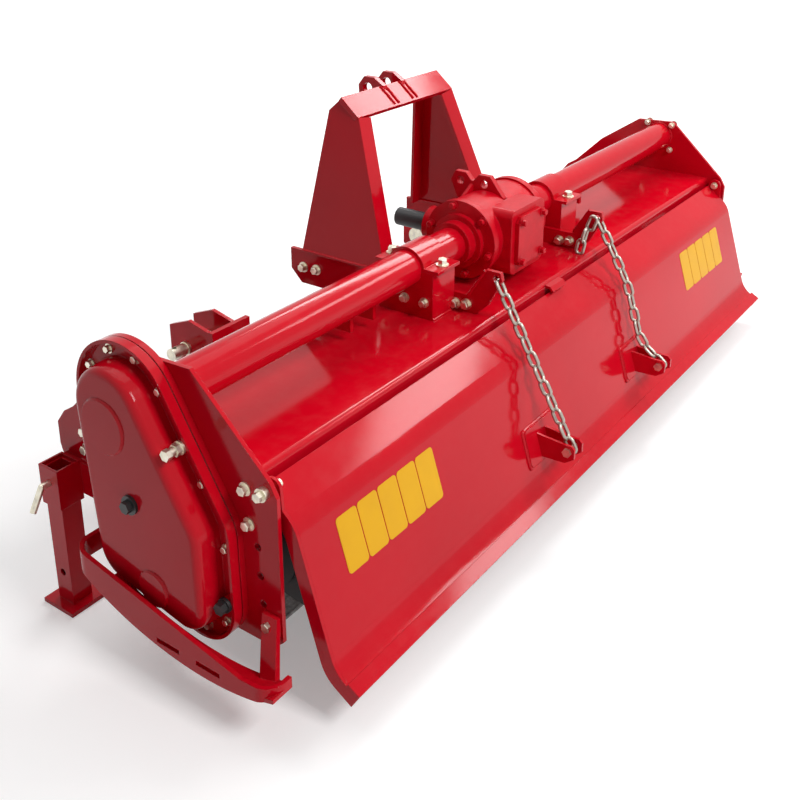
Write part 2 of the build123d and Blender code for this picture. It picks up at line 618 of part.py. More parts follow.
# Chains: straight run of oblong links from the hole of the arm to the bolt of the board bracket
def link(length_inner):
    """Oblong link standing along Z with its flat side facing X."""
    outer_r = LINK_INNER + 2 * WIRE_R
    top = length_inner / 2 - LINK_INNER
    angles = [math.radians(a) for a in (0, 30, 60, 120, 150, 180)]
    rise = 1 / math.sin(math.radians(60))
    outer = [(outer_r * math.cos(a), top + outer_r * math.sin(a) * rise) for a in angles]
    outer += [(-y, -z) for y, z in outer]
    inner = [(LINK_INNER * math.cos(a), top + LINK_INNER * math.sin(a) * rise) for a in angles]
    inner += [(-y, -z) for y, z in inner]
    ring = plate_yz(outer, -WIRE_R, WIRE_R)
    ring -= plate_yz(inner, -WIRE_R - 1, WIRE_R + 1)
    rims = ring.edges().filter_by(Axis.X, reverse=True)
    return chamfer(rims, WIRE_R * (2 - math.sqrt(2)))


run_y = CHAIN_PIN[0] - HOOK[0]
run_z = CHAIN_PIN[1] - HOOK[1]
gap = math.hypot(run_y, run_z)
run = gap + CHAIN_BOLT_R + 2 * WIRE_R + LINK_PLAY
link_count = 2 * round(run / LINK_PITCH / 2)
hooked = 2 * WIRE_R + LINK_PLAY
link_length = (run + (link_count - 1) * hooked) / link_count
chain_turn = math.degrees(math.atan2(run_y, -run_z))
one_link = link(link_length - 2 * WIRE_R)
for x, name in ((SHIFT_X - CHAIN_X, "left"), (SHIFT_X + CHAIN_X, "right")):
    links = []
    for i in range(link_count):
        along = (link_length / 2 + i * (link_length - hooked)) / gap
        twist = 90 if i % 2 == 0 else 0
        centre = Pos(x, HOOK[0] + run_y * along, HOOK[1] + run_z * along)
        links.append(centre * Rot(chain_turn, 0, 0) * Rot(0, 0, twist) * one_link)
    parts["chain_" + name] = group(links)

# Plugs on the gear case
level = rod_x(17, DOME_X - 5, DOME_X, *LEVEL) + hexagon_x(19, DOME_X - 15, DOME_X - 5, *LEVEL)
parts["level_plug"] = level
plug_seat = CASE_FLOOR - PLUG_BOSS_H
drain = rod_x(13, plug_seat - 6, plug_seat, *DRAIN) + hexagon_x(19, plug_seat - 18, plug_seat - 6, *DRAIN)
parts["drain_plug"] = drain
filler = rod_x(12, plug_seat - 4, plug_seat, *FILLER) + hexagon_x(19, plug_seat - 14, plug_seat - 4, *FILLER)
filler += rod_x(8, plug_seat - 24, plug_seat - 14, *FILLER)
filler += hexagon_x(17, plug_seat - 34, plug_seat - 24, *FILLER)
parts["filler_bolt"] = filler

# Origin on the ground under the middle of the whole machine
boxes = [shape.bounding_box() for shape in parts.values()]
middle_x = (min(b.min.X for b in boxes) + max(b.max.X for b in boxes)) / 2
middle_y = (min(b.min.Y for b in boxes) + max(b.max.Y for b in boxes)) / 2
os.makedirs("parts", exist_ok=True)
for name, shape in parts.items():
    placed = Pos(-middle_x, -middle_y, 0) * shape
    export_step(placed, "parts/" + name + ".step")
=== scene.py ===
"""Rotary tiller: paint, fasteners, welds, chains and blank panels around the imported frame."""
import json
import math

import bmesh
import bpy
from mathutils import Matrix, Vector


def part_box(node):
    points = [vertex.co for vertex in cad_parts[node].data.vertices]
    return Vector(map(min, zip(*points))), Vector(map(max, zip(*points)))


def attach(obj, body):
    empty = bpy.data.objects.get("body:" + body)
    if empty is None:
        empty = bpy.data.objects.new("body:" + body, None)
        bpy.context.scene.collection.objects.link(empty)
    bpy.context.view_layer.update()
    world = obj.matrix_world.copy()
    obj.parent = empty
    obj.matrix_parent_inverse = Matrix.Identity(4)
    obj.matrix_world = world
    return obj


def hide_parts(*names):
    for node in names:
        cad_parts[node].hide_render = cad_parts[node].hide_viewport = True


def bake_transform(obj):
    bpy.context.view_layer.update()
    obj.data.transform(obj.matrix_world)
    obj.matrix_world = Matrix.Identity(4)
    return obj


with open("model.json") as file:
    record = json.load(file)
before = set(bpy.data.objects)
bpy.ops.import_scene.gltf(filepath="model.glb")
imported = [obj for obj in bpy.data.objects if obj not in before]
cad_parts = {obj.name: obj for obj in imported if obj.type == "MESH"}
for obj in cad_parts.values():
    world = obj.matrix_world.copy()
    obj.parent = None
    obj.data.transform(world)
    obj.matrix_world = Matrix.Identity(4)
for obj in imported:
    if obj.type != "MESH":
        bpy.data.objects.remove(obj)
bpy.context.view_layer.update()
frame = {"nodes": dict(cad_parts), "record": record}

scene = bpy.context.scene
scene.view_settings.view_transform = "Standard"

# Places are in millimetres: X from the middle of the side plates, Y from the tube's axis, Z from the ground
plate_left, plate_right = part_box("side_plate_left"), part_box("side_plate_right")
tube_low, tube_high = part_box("main_tube_left")
MIDDLE_X = (plate_left[0].x + plate_right[1].x) / 2
TUBE_Y = (tube_low.y + tube_high.y) / 2
PLATE_IN, PLATE_OUT = 958, 966
SHIFT_X = -20
TUBE_Z, TUBE_R = 505, 38
ROTOR_Y, ROTOR_Z = -55, 195
ARM_X, ARM_T, ARM_TOP = 235, 10, 442
CHAIN_X = 230
HITCH_X, HITCH_HALF = 450, 41
HINGE_Y, HINGE_Z = -186, 388


def at(x, y, z):
    """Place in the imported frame, in metres."""
    return Vector((MIDDLE_X + x / 1000, TUBE_Y + y / 1000, z / 1000))


class Socket:
    """One output in a node tree; arithmetic on it adds Math nodes."""

    def __init__(self, graph, link):
        self.graph = graph
        self.link = link

    def math(self, operation, first, second=0.0, clamp=False):
        settings = {"operation": operation, "use_clamp": clamp}
        return self.graph.node("ShaderNodeMath", settings, [first, second])

    def __add__(self, other):
        return self.math("ADD", self, other)

    def __radd__(self, other):
        return self.math("ADD", other, self)

    def __sub__(self, other):
        return self.math("SUBTRACT", self, other)

    def __rsub__(self, other):
        return self.math("SUBTRACT", other, self)

    def __mul__(self, other):
        return self.math("MULTIPLY", self, other)

    def clamped(self):
        return self.math("ADD", self, 0.0, True)


class Graph:
    """A node tree that is built by one method."""

    def __init__(self, tree):
        self.tree = tree

    def node(self, kind, settings=None, sockets=None, out=0):
        made = self.tree.nodes.new(kind)
        for name, value in (settings or {}).items():
            if name == "stops":
                ramp = made.color_ramp
                while len(ramp.elements) < len(value):
                    ramp.elements.new(0.5)
                for element, (place, color) in zip(ramp.elements, value):
                    element.position = place
                    element.color = color
            else:
                setattr(made, name, value)
        given = sockets.items() if isinstance(sockets, dict) else enumerate(sockets or [])
        for key, value in given:
            for single in value if isinstance(value, list) else [value]:
                if isinstance(single, Socket):
                    self.tree.links.new(single.link, made.inputs[key])
                else:
                    made.inputs[key].default_value = single
        return Socket(self, made.outputs[out])

    def mix(self, factor, first, second):
        """Colour between two colours."""
        return self.node("ShaderNodeMix", {"data_type": "RGBA"}, {0: factor, 6: first, 7: second}, 2)

    def noise(self, place, scale, detail=3.0, rough=0.5):
        """Value that drifts from place to place."""
        sockets = {"Vector": place, "Scale": scale, "Detail": detail, "Roughness": rough}
        return self.node("ShaderNodeTexNoise", {}, sockets)

    def bump(self, height, strength, distance, edge=0.0):
        """Surface relief, over edges that look eased by a radius when one is given."""
        sockets = {"Strength": strength, "Distance": distance, "Height": height}
        if edge:
            sockets["Normal"] = self.node("ShaderNodeBevel", {"samples": 4}, {"Radius": edge})
        return self.node("ShaderNodeBump", {}, sockets)


def finish(name):
    """New material with its graph, its Principled shader and the object's own coordinates."""
    material = bpy.data.materials.new(name)
    material.use_nodes = True
    graph = Graph(material.node_tree)
    shader = material.node_tree.nodes["Principled BSDF"]
    place = graph.node("ShaderNodeTexCoord", out="Object")
    return material, graph, shader, place


def dress(graph, shader, **values):
    """Set or link the shader's sockets by name, with _ for a space."""
    for name, value in values.items():
        socket = shader.inputs[name.replace("_", " ")]
        if isinstance(value, Socket):
            graph.tree.links.new(value.link, socket)
        else:
            socket.default_value = value


def facing_up(graph):
    """1 on surfaces that face the sky, 0 on walls."""
    normal = graph.node("ShaderNodeNewGeometry", out="Normal")
    return graph.node("ShaderNodeSeparateXYZ", {}, [normal], "Z").clamped()


def red_enamel(name, color, deep, rough):
    """Gloss enamel with a faint orange peel, uneven gloss and a little dust on what faces up."""
    material, graph, shader, place = finish(name)
    cloud = graph.noise(place, 2.3, 4.0)
    fine = graph.noise(place, 38.0, 5.0, 0.6)
    peel = graph.noise(place, 330.0, 2.0)
    dust = (facing_up(graph) * (fine - 0.42) * 1.6).clamped()
    paint = graph.mix(((cloud - 0.35) * 2.2).clamped(), deep, color)
    dusty = graph.mix(dust * 0.05, paint, (0.62, 0.30, 0.26, 1))
    dress(graph, shader, Base_Color=dusty, Roughness=rough + cloud * 0.08 + dust * 0.12,
          Specular_IOR_Level=0.17, Normal=graph.bump(peel, 0.035, 0.0006, 0.0016))
    return material


def cast_enamel(name, color, deep):
    """The same enamel over a sand-cast surface."""
    material, graph, shader, place = finish(name)
    sand = graph.noise(place, 170.0, 5.0, 0.7)
    lumps = graph.noise(place, 34.0, 3.0)
    paint = graph.mix(((lumps - 0.35) * 2.0).clamped(), deep, color)
    dress(graph, shader, Base_Color=paint, Roughness=0.26 + sand * 0.16, Specular_IOR_Level=0.14,
          Normal=graph.bump(sand * 0.6 + lumps * 0.8, 0.22, 0.0016, 0.003))
    return material


def zinc_plate(name):
    """Yellowish passivated zinc, patchy in tint and gloss."""
    material, graph, shader, place = finish(name)
    patch = graph.noise(place, 60.0, 4.0)
    grain = graph.noise(place, 700.0, 2.0)
    stops = [(0.3, (0.50, 0.47, 0.42, 1)), (0.5, (0.70, 0.65, 0.52, 1)), (0.7, (0.80, 0.76, 0.66, 1))]
    tint = graph.node("ShaderNodeValToRGB", {"stops": stops}, [patch])
    dress(graph, shader, Base_Color=tint, Metallic=1.0, Roughness=0.22 + patch * 0.22,
          Normal=graph.bump(grain, 0.06, 0.0004))
    return material


def galvanised(name):
    """Grey hot-dipped zinc of the chain, patchy in tone and gloss."""
    material, graph, shader, place = finish(name)
    patch = graph.noise(place, 95.0, 5.0, 0.6)
    grain = graph.noise(place, 520.0, 3.0)
    tone = graph.mix(patch, (0.22, 0.20, 0.17, 1), (0.54, 0.50, 0.44, 1))
    dress(graph, shader, Base_Color=tone, Metallic=1.0, Roughness=0.28 + patch * 0.2,
          Normal=graph.bump(grain, 0.12, 0.0005))
    return material


def black_moulding(name):
    """Black plastic with a fine moulded grain."""
    material, graph, shader, place = finish(name)
    grain = graph.noise(place, 900.0, 3.0, 0.6)
    cloud = graph.noise(place, 25.0, 3.0)
    tone = graph.mix(cloud, (0.008, 0.008, 0.009, 1), (0.022, 0.022, 0.023, 1))
    dress(graph, shader, Base_Color=tone, Roughness=0.34 + cloud * 0.14,
          Normal=graph.bump(grain, 0.18, 0.0004))
    return material


def tine_paint(name):
    """Black paint on the rotor, rubbed to steel toward the tips of the tines."""
    material, graph, shader, place = finish(name)
    axle = at(0, ROTOR_Y, ROTOR_Z)
    across = graph.node("ShaderNodeVectorMath", {"operation": "SUBTRACT"}, [place, (0, axle.y, axle.z)])
    flat = graph.node("ShaderNodeVectorMath", {"operation": "MULTIPLY"}, [across, (0, 1, 1)])
    reach = graph.node("ShaderNodeVectorMath", {"operation": "LENGTH"}, [flat], "Value")
    scuff = graph.noise(place, 55.0, 6.0, 0.65)
    worn_from = 0.168
    worn = ((reach - worn_from) * 28.0 + (scuff - 0.5) * 2.6).clamped()
    paint = graph.mix(scuff, (0.010, 0.010, 0.011, 1), (0.028, 0.027, 0.027, 1))
    steel = graph.mix(scuff, (0.30, 0.29, 0.28, 1), (0.46, 0.45, 0.44, 1))
    dress(graph, shader, Base_Color=graph.mix(worn, paint, steel), Metallic=worn,
          Roughness=0.48 - worn * 0.12 + scuff * 0.1, Normal=graph.bump(scuff, 0.12, 0.0008))
    return material


def turned_steel(name):
    """Bright steel with fine turning marks."""
    material, graph, shader, place = finish(name)
    marks = graph.node("ShaderNodeTexWave", {"bands_direction": "Y"},
                       {"Vector": place, "Scale": 380.0, "Distortion": 2.0, "Detail": 2.0})
    tone = graph.mix(marks, (0.42, 0.42, 0.43, 1), (0.58, 0.58, 0.58, 1))
    dress(graph, shader, Base_Color=tone, Metallic=1.0, Roughness=0.24 + marks * 0.14,
          Normal=graph.bump(marks, 0.05, 0.0003))
    return material


def gasket(name):
    """Dark oily fibre gasket."""
    material, graph, shader, place = finish(name)
    fibre = graph.noise(place, 420.0, 4.0, 0.7)
    tone = graph.mix(fibre, (0.010, 0.008, 0.007, 1), (0.045, 0.036, 0.028, 1))
    dress(graph, shader, Base_Color=tone, Roughness=0.6 + fibre * 0.25,
          Normal=graph.bump(fibre, 0.2, 0.0005))
    return material


def panel_film(name):
    """Yellow printed film, a little uneven in gloss."""
    material, graph, shader, place = finish(name)
    cloud = graph.noise(place, 18.0, 3.0)
    grain = graph.noise(place, 600.0, 2.0)
    tone = graph.mix(cloud, (0.72, 0.36, 0.004, 1), (0.80, 0.42, 0.006, 1))
    dress(graph, shader, Base_Color=tone, Roughness=0.34 + cloud * 0.12, Specular_IOR_Level=0.2,
          Normal=graph.bump(grain, 0.04, 0.0003))
    return material


RED = (0.62, 0.0015, 0.013, 1)
DEEP_RED = (0.51, 0.0010, 0.010, 1)
enamel = red_enamel("red_enamel", RED, DEEP_RED, 0.06)
finishes = {
    "red_paint": enamel,
    "black_plastic": black_moulding("black_moulding"),
    "zinc": zinc_plate("zinc_plate"),
    "tine_steel": tine_paint("tine_paint"),
    "bare_steel": turned_steel("turned_steel"),
    "seal": gasket("fibre_gasket"),
}
cast = cast_enamel("red_on_castings", RED, DEEP_RED)
castings = {"gearbox_housing", "gearbox_bearing_caps", "gearbox_rear_cover", "gearbox_lug",
            "rotor_bearing_housing"}
for part in frame["record"]["subparts"]:
    node = frame["nodes"][part["node"]]
    node.data.materials.clear()
    node.data.materials.append(cast if part["node"] in castings else finishes[part["material_slot"]])


# Geometry Nodes: groups with named inputs, run on a mesh of points or lines and turned into a plain mesh
FULL_TURN = 6.28


def node_group(name, inputs):
    """Empty group with a geometry input, the named inputs and a geometry output."""
    tree = bpy.data.node_groups.new(name, "GeometryNodeTree")
    tree.interface.new_socket("Geometry", in_out="INPUT", socket_type="NodeSocketGeometry")
    for label, (kind, value) in inputs.items():
        socket = tree.interface.new_socket(label, in_out="INPUT", socket_type="NodeSocket" + kind)
        if value is not None:
            socket.default_value = value
    tree.interface.new_socket("Geometry", in_out="OUTPUT", socket_type="NodeSocketGeometry")
    graph = Graph(tree)
    entry = tree.nodes.new("NodeGroupInput")
    taken = {socket.name: Socket(graph, socket) for socket in entry.outputs if socket.name}
    return tree, graph, taken


def close_group(graph, geometry, material):
    """Realize the instances, set the material and end the group."""
    whole = graph.node("GeometryNodeRealizeInstances", {}, [geometry])
    painted = graph.node("GeometryNodeSetMaterial", {}, {"Geometry": whole, "Material": material})
    leave = graph.tree.nodes.new("NodeGroupOutput")
    graph.tree.links.new(painted.link, leave.inputs[0])


def prism(graph, sides, radius, height):
    """Many-sided prism round the origin."""
    sockets = {"Vertices": sides, "Radius": radius, "Depth": height}
    return graph.node("GeometryNodeMeshCylinder", {}, sockets)


def stand_on(graph, shape, height, low):
    """A shape round the origin, lifted to stand on a height."""
    lift = graph.node("ShaderNodeCombineXYZ", {}, {"Z": low + height * 0.5})
    return graph.node("GeometryNodeTransform", {}, {"Geometry": shape, "Translation": lift})


def chamfered_head(graph, radius, height, chamfer, top_radius):
    """Six-sided prism with a chamfer on top, as one closed shell."""
    solid = prism(graph, 6, radius, height)
    lid = Socket(graph, solid.link.node.outputs["Top"])
    grown = graph.node("GeometryNodeExtrudeMesh", {"mode": "FACES"},
                       {"Mesh": solid, "Selection": lid, "Offset Scale": chamfer, "Individual": False})
    rim = Socket(graph, grown.link.node.outputs["Top"])
    return graph.node("GeometryNodeScaleElements", {"domain": "FACE"},
                      {"Geometry": grown, "Selection": rim, "Scale": top_radius / radius})


def on_points(graph, points, shape, seed):
    """Instances that stand along each point's axis, at its size, each turned by an angle of its own."""
    axis = graph.node("GeometryNodeInputNamedAttribute", {"data_type": "FLOAT_VECTOR"}, {"Name": "axis"})
    size = graph.node("GeometryNodeInputNamedAttribute", {"data_type": "FLOAT"}, {"Name": "size"})
    stood = graph.node("FunctionNodeAlignRotationToVector", {"axis": "Z"}, {"Vector": axis})
    angle = graph.node("FunctionNodeRandomValue", {"data_type": "FLOAT"},
                       {2: 0.0, 3: FULL_TURN, "Seed": seed}, 1)
    spin = graph.node("FunctionNodeAxisAngleToRotation", {}, {"Axis": (0, 0, 1), "Angle": angle})
    turned = graph.node("FunctionNodeRotateRotation", {"rotation_space": "LOCAL"}, [stood, spin])
    sockets = {"Points": points, "Instance": shape, "Rotation": turned, "Scale": size}
    return graph.node("GeometryNodeInstanceOnPoints", {}, sockets)


def hex_fastener_group():
    """Washer, and a six-sided head with a chamfered top, one unit across the flats."""
    tree, graph, given = node_group("hex_fastener", {
        "Head Height": ("Float", 0.62), "Washer Radius": ("Float", 0.78), "Washer Height": ("Float", 0.16),
        "Seed": ("Int", 7), "Material": ("Material", None)})
    height, washer = given["Head Height"], given["Washer Height"]
    washer_sides, corner, top_corner, chamfer = 24, 0.577, 0.5, 0.07
    disc = prism(graph, washer_sides, given["Washer Radius"], washer)
    head = chamfered_head(graph, corner, height, chamfer, top_corner)
    pieces = [stand_on(graph, disc, washer, 0.0), stand_on(graph, head, height, washer)]
    shape = graph.node("GeometryNodeJoinGeometry", {}, {"Geometry": pieces})
    close_group(graph, on_points(graph, given["Geometry"], shape, given["Seed"]), given["Material"])
    return tree


def chain_group():
    """Oblong links of round wire, every other one turned by a quarter."""
    tree, graph, given = node_group("chain_links", {
        "Wire Radius": ("Float", 0.0035), "Link Length": ("Float", 0.034), "Link Width": ("Float", 0.022),
        "Material": ("Material", None)})
    wire = given["Wire Radius"]
    width = given["Link Width"] - wire * 2
    length = given["Link Length"] - wire * 2
    outline = graph.node("GeometryNodeCurvePrimitiveQuadrilateral", {}, {"Width": width, "Height": length})
    rounded = graph.node("GeometryNodeFilletCurve", {"mode": "POLY"},
                         {"Curve": outline, "Radius": width * 0.499, "Count": 7})
    ring = graph.node("GeometryNodeCurvePrimitiveCircle", {}, {"Resolution": 12, "Radius": wire})
    link = graph.node("GeometryNodeCurveToMesh", {}, {"Curve": rounded, "Profile Curve": ring})
    upright = graph.node("GeometryNodeTransform", {}, {"Geometry": link, "Rotation": (math.pi / 2, 0, 0)})
    axis = graph.node("GeometryNodeInputNamedAttribute", {"data_type": "FLOAT_VECTOR"}, {"Name": "axis"})
    turn = graph.node("GeometryNodeInputNamedAttribute", {"data_type": "FLOAT"}, {"Name": "turn"})
    stood = graph.node("FunctionNodeAlignRotationToVector", {"axis": "Z", "pivot_axis": "X"},
                       {"Vector": axis})
    spin = graph.node("FunctionNodeAxisAngleToRotation", {}, {"Axis": (0, 0, 1), "Angle": turn})
    turned = graph.node("FunctionNodeRotateRotation", {"rotation_space": "LOCAL"}, [stood, spin])
    links = graph.node("GeometryNodeInstanceOnPoints", {},
                       {"Points": given["Geometry"], "Instance": upright, "Rotation": turned})
    close_group(graph, links, given["Material"])
    return tree


def bead_group():
    """Weld bead: a half-round line with ripples, laid along edges."""
    tree, graph, given = node_group("weld_bead", {
        "Radius": ("Float", 0.004), "Ripple": ("Float", 0.0012), "Step": ("Float", 0.004),
        "Seed": ("Float", 3.0), "Material": ("Material", None)})
    line = graph.node("GeometryNodeMeshToCurve", {}, [given["Geometry"]])
    even = graph.node("GeometryNodeResampleCurve", {"mode": "LENGTH"},
                      {"Curve": line, "Length": given["Step"]})
    ring = graph.node("GeometryNodeCurvePrimitiveCircle", {}, {"Resolution": 8, "Radius": given["Radius"]})
    bead = graph.node("GeometryNodeCurveToMesh", {},
                      {"Curve": even, "Profile Curve": ring, "Fill Caps": True})
    normal = graph.node("GeometryNodeInputNormal")
    place = graph.node("GeometryNodeInputPosition")
    wave = graph.node("ShaderNodeTexNoise", {"noise_dimensions": "4D"},
                      {"Vector": place, "W": given["Seed"], "Scale": 140.0, "Detail": 1.0})
    depth = (wave - 0.5) * given["Ripple"] * 2.0
    push = graph.node("ShaderNodeVectorMath", {"operation": "SCALE"}, {0: normal, "Scale": depth})
    rough = graph.node("GeometryNodeSetPosition", {}, {"Geometry": bead, "Offset": push})
    close_group(graph, rough, given["Material"])
    return tree


def run_group(name, tree, mesh, values, smooth=True):
    """Object at the origin whose mesh is what the group makes of the given mesh."""
    holder = bpy.data.objects.new(name, mesh)
    scene.collection.objects.link(holder)
    modifier = holder.modifiers.new(name, "NODES")
    modifier.node_group = tree
    for item in tree.interface.items_tree:
        if item.in_out == "INPUT" and item.name in values:
            modifier[item.identifier] = values[item.name]
    evaluated = holder.evaluated_get(bpy.context.evaluated_depsgraph_get())
    made = bpy.data.meshes.new_from_object(evaluated)
    holder.modifiers.remove(modifier)
    holder.data = made
    made.name = name
    bm = bmesh.new()
    bm.from_mesh(made)
    bmesh.ops.remove_doubles(bm, verts=bm.verts, dist=1e-6)
    bmesh.ops.recalc_face_normals(bm, faces=bm.faces)
    bm.to_mesh(made)
    bm.free()
    if smooth:
        made.shade_smooth()
    else:
        made.shade_flat()
    return holder


def points_mesh(name, places, **attributes):
    """Loose points with an attribute or more on each."""
    mesh = bpy.data.meshes.new(name)
    mesh.from_pydata([tuple(p) for p in places], [], [])
    for label, values in attributes.items():
        vector = isinstance(values[0], (tuple, Vector))
        layer = mesh.attributes.new(label, "FLOAT_VECTOR" if vector else "FLOAT", "POINT")
        for item, value in zip(layer.data, values):
            if vector:
                item.vector = value
            else:
                item.value = value
    return mesh


hex_fastener = hex_fastener_group()
chain_links = chain_group()
weld_bead = bead_group()
zinc = finishes["zinc"]
link_metal = galvanised("galvanised_links")

LEFT, RIGHT, REAR, UP = (-1, 0, 0), (1, 0, 0), (0, -1, 0), (0, 0, 1)
CASE_FLOOR = -986
CASE_LOBES = [(88, 462, 112), (-57, 290, 78), (-57, 160, 80), (85, 200, 92)]
CASE_BOLT_INSET = 18
CAP_FACE, CAP_BOLT_R = 113, 77
COVER_FACE, COVER_Z, COVER_BOLT = -114, 503, 45
CLAMP_X, EAR_BOLT_Y, EAR_TOP = 275, 62, 512
BLOCK_FACE = 315
FLANGE_BOLT, HUB_BOLT_R = 37, 54
HINGE_NUT_X = 943.5


def both_arms(y, z, size):
    """Bolts through both arms, with heads on their left faces."""
    return [(SHIFT_X - ARM_X, y, z, LEFT, size), (SHIFT_X + ARM_X - ARM_T, y, z, LEFT, size)]


def ring_of(count, radius, x, y, z, axis, size, start=0.0):
    """Bolts round an axis along X."""
    made = []
    for i in range(count):
        a = start + 2 * math.pi * i / count
        made.append((x, y + radius * math.cos(a), z + radius * math.sin(a), axis, size))
    return made


def on_case(lobe, angle):
    """Bolt on the case's flange, at an angle round one of its lobes."""
    y, z, radius = CASE_LOBES[lobe]
    radius -= CASE_BOLT_INSET
    return y + radius * math.cos(math.radians(angle)), z + radius * math.sin(math.radians(angle))


# Heads on the frame: place, axis and size across the flats in millimetres
case_bolts = [on_case(0, a) for a in (150, 110, 70, 30, -6)] + [on_case(2, a) for a in (212, 262)]
case_bolts += [on_case(3, a) for a in (-72, -22)]
case_bolts += [(-76, 374), (-117, 270), (14, 111), (167, 285), (174, 370)]
heads = [(CASE_FLOOR, y, z, LEFT, 11) for y, z in case_bolts]
painted_heads = ring_of(6, CAP_BOLT_R, SHIFT_X - CAP_FACE, 0, TUBE_Z, LEFT, 13, 0.3)
painted_heads += ring_of(6, CAP_BOLT_R, SHIFT_X + CAP_FACE, 0, TUBE_Z, RIGHT, 13, 0.3)
for x in (-COVER_BOLT, COVER_BOLT):
    for z in (-COVER_BOLT, COVER_BOLT):
        painted_heads.append((SHIFT_X + x, COVER_FACE, COVER_Z + z, REAR, 13))
for side in (-1, 1):
    for y in (-EAR_BOLT_Y, EAR_BOLT_Y):
        heads.append((SHIFT_X + side * CLAMP_X, y, EAR_TOP, UP, 17))
heads += both_arms(-97, 422, 16) + both_arms(-70, 418, 16)
for side, axis in ((-1, LEFT), (1, RIGHT)):
    for y, z in [(304, 404), (342, 402)]:
        heads.append((SHIFT_X + side * ARM_X, y, z, axis, 16))
    for y, z in [(2, 440), (-46, 440), (50, 440)]:
        heads.append((SHIFT_X + side * BLOCK_FACE, y, z, axis, 14))
    for y, z in [(HINGE_Y, HINGE_Z), (-190, 150)]:
        heads.append((side * (PLATE_OUT + 8), y, z, axis, 15))
    for y, z in [(-146, 380), (-150, 318), (232, 352), (234, 316)]:
        heads.append((side * PLATE_OUT, y, z, axis, 15))
    heads.append((side * HINGE_NUT_X, HINGE_Y, HINGE_Z, (-side, 0, 0), 13))
for y in (FLANGE_BOLT, -FLANGE_BOLT):
    for z in (TUBE_Z + FLANGE_BOLT, TUBE_Z - FLANGE_BOLT):
        heads.append((PLATE_OUT + 6, y, z, RIGHT, 13))
        heads.append((PLATE_IN, y, z, LEFT, 12))
heads += ring_of(4, HUB_BOLT_R, PLATE_OUT + 14, ROTOR_Y, ROTOR_Z, RIGHT, 15, math.pi / 4)


def fasteners(name, body, rows, metal):
    """All heads of one finish on one body, in one mesh."""
    mesh = points_mesh(name + "_points", [at(x, y, z) for x, y, z, axis, size in rows],
                       axis=[Vector(axis) for x, y, z, axis, size in rows],
                       size=[size / 1000 for x, y, z, axis, size in rows])
    piece = run_group(name, hex_fastener, mesh, {"Material": metal}, smooth=False)
    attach(piece, body)


fasteners("frame_bolts", "frame", heads, zinc)
fasteners("painted_bolts", "frame", painted_heads, cast)

# Two bolts in the foot of each tine, on the rotor
FLANGES, FLANGE_SPAN, TINES, TINE_STAGGER = 9, 860, 6, 20
TINE_FACE_X = 12
TINE_BOLTS = [(-41, 76), (-17, 86)]
flange_pitch = 2 * FLANGE_SPAN / (FLANGES - 1)
tine_heads = []
for k in range(FLANGES):
    for n in range(TINES):
        side = 1 if k == 0 or (n % 2 and k < FLANGES - 1) else -1
        turn = math.radians(180 + n * 360 / TINES + k * TINE_STAGGER)
        for y, z in TINE_BOLTS:
            tine_heads.append((-FLANGE_SPAN + k * flange_pitch + side * TINE_FACE_X,
                               ROTOR_Y + y * math.cos(turn) - z * math.sin(turn),
                               ROTOR_Z + y * math.sin(turn) + z * math.cos(turn), (side, 0, 0), 13))
fasteners("tine_bolts", "rotor", tine_heads, zinc)

# Weld beads along the joints of the plates. The board's main face runs between two points in Y and Z
BOARD_B, BOARD_C = (-228, 334), (-302, 95)
BOARD_SLOPE = (BOARD_C[0] - BOARD_B[0]) / (BOARD_C[1] - BOARD_B[1])
BASE_HALF, BASE_LOW, BASE_HIGH = 62, 130, 204
BEAD_R, BASE_BEAD_R = 3.2, 4.6
TOP_EAR_SIDES = (28, 44)


def arc_points(x, y, z, radius, start, end, count=24):
    """Line round an axis along X."""
    spread = [math.radians(start + (end - start) * i / count) for i in range(count + 1)]
    return [(x, y + radius * math.cos(a), z + radius * math.sin(a)) for a in spread]


def board_y(z):
    """Outer surface of the board's main face at a height."""
    return BOARD_B[0] + BOARD_SLOPE * (z - BOARD_B[1])


def rim_points(x, half, low, high):
    """Closed line on the board's main face, round a base that stands on it."""
    corners = [(x - half, low), (x + half, low), (x + half, high), (x - half, high), (x - half, low)]
    return [(px, board_y(z), z) for px, z in corners]


def welds(name, body, lines, radius=BEAD_R):
    """All beads on one body, in one mesh."""
    mesh = bpy.data.meshes.new(name + "_lines")
    places, edges = [], []
    for line in lines:
        first, spots = len(places), [at(*p) for p in line]
        closed = (spots[0] - spots[-1]).length < 1e-6
        if closed:
            spots.pop()
            edges.append((first + len(spots) - 1, first))
        edges += [(first + i, first + i + 1) for i in range(len(spots) - 1)]
        places += [tuple(p) for p in spots]
    mesh.from_pydata(places, edges, [])
    piece = run_group(name, weld_bead, mesh, {"Material": enamel, "Radius": radius / 1000})
    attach(piece, body)


